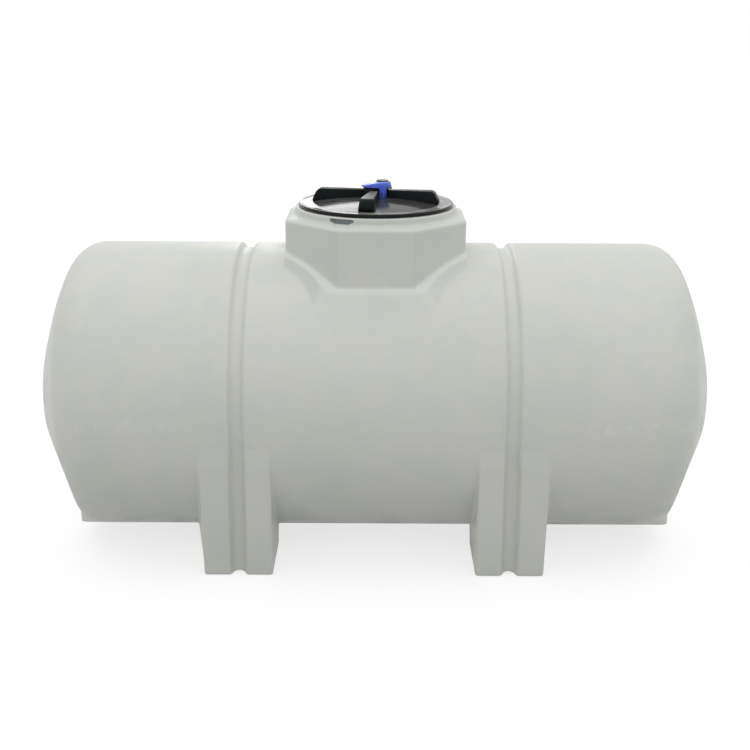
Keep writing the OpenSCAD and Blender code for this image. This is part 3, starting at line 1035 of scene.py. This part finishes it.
def studio_floor():
    """Pale floor: seen white, with the object's shadow left on it."""
    f = Finish("studio floor", Roughness=1.0)
    shown = f.shown()
    body = f.blend(shown, (0.45, 0.45, 0.45, 1), (0.35, 0.35, 0.35, 1))
    glow = f.blend(shown, (0, 0, 0, 1), (0.72, 0.72, 0.72, 1))
    return f.wear(Base_Color=body, Emission_Color=glow, Emission_Strength=1.0)


crease = math.radians(35)


def set_finish(obj, material):
    """Gives a piece its material and smooth shading up to its creases."""
    hold(obj)
    obj.data.materials.clear()
    obj.data.materials.append(material)
    for face in obj.data.polygons:
        face.material_index = 0
    bpy.ops.object.shade_smooth_by_angle(angle=crease)


def place_piece(obj, body, slot, material, *nodes):
    """Finishes a piece and puts it in the frame in place of its CAD nodes."""
    set_finish(obj, material)
    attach(obj, body)
    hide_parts(*nodes)


natural = barrel_shell()
run_parts = ("_barrel_upper", "_barrel_lower", "_groove_upper", "_groove_lower")
for word, (run, cap) in shells.items():
    stand = stands[word]
    rear_stand = flip(twin(stand, "rear_" + word + "_stand"), 1)
    place_piece(run, "tank", "natural_shell", natural, *(word + part for part in run_parts))
    place_piece(stand, "tank", "natural_shell", natural, "front_" + word + "_leg")
    place_piece(rear_stand, "tank", "natural_shell", natural, "rear_" + word + "_leg")
    place_piece(cap, "tank", "natural_shell", natural, word + "_end", word + "_drain_boss")
place_piece(shell, "tank", "natural_shell", natural,
            "middle_barrel_upper", "middle_barrel_lower")
place_piece(collar, "tank", "natural_shell", neck_foot_shell(),
            "front_neck_base", "rear_neck_base")
place_piece(neck, "tank", "natural_shell", neck_shell(),
            "neck_wall", "neck_shoulder", "manway_lip")
place_piece(cover, "lid", "black_lid", lid_black(), "lid_disc", "lid_rim", "lid_plug")
place_piece(ring, "lid", "gasket_rubber", soft_rubber(), "lid_gasket")
satin = grip_black("black grip", 0.06)
# the front bar's top gets far more: mostly painted sheen where its top catches the sky, with some
# dust
dusty_sheen = grip_black("dusty grip", 0.5)
for node, arm in arms.items():
    place_piece(arm, "lid", "black_grip", dusty_sheen if node == "front_grip" else satin, node)
place_piece(hub, "lid", "black_grip", satin, "grip_hub")
place_piece(vent, "lid", "black_grip", vent_olive(), "vent_cap")
place_piece(clip, "lid", "blue_clip", clip_blue(), "vent_clip")

# ---- camera, floor and light ----

sight = math.radians(18.5)
roll = math.radians(0.3)
stand_off = 3.4
film = 36
focal = 1130 / 750
frame_up = 0.0104
scene = bpy.context.scene


def stand_in_scene(name, data, place, turn):
    """Puts a camera or lamp in the scene."""
    holder = bpy.data.objects.new(name, data)
    holder.location = place
    holder.rotation_euler = turn.to_euler()
    scene.collection.objects.link(holder)
    return holder


camera = bpy.data.cameras.new("camera")
camera.sensor_width = film
camera.lens = focal * film
camera.clip_end = 60
camera.shift_y = frame_up
scene.camera = stand_in_scene(
    "camera", camera, (0, -stand_off * math.cos(sight), axis_z + stand_off * math.sin(sight)),
    Matrix.Rotation(math.pi / 2 - sight, 4, "X") @ Matrix.Rotation(roll, 4, "Z"))


def lamp(name, place, size, power, aim):
    """A soft panel of light that doesn't show."""
    light = bpy.data.lights.new(name, "AREA")
    light.shape = "RECTANGLE"
    light.size, light.size_y = size
    light.energy = power
    turn = (Vector(aim) - Vector(place)).to_track_quat("-Z", "Y")
    stand_in_scene(name, light, place, turn).visible_camera = False


lamp("sky panel", (0, -0.4, 4.6), (5.0, 3.0), 20, (0, 0, 0.5))
lamp("rear left panel", (-0.5, 4.1, 2.45), (0.9, 1.9), 15, (0, 0, 1.0))

clear_bench()
bpy.ops.mesh.primitive_plane_add(size=60, location=(0, 0, -0.0005))
floor = added("floor")
set_finish(floor, studio_floor())

world = bpy.data.worlds.new("studio")
world.use_nodes = True
scene.world = world
sky = Nodes(world.node_tree)
white = (1, 1, 1, 1)
sky.tree.nodes.remove(sky.tree.nodes["Background"])
plain = sky.node("ShaderNodeBackground", {}, {"Color": white, "Strength": 0.85})
bright = sky.node("ShaderNodeBackground", {}, {"Color": white, "Strength": 1.0})
glow = sky.node("ShaderNodeMixShader", {}, {0: sky.shown(), 1: plain, 2: bright})
sky.feed(sky.tree.nodes["World Output"].inputs["Surface"], glow)

scene.view_settings.view_transform = "Standard"
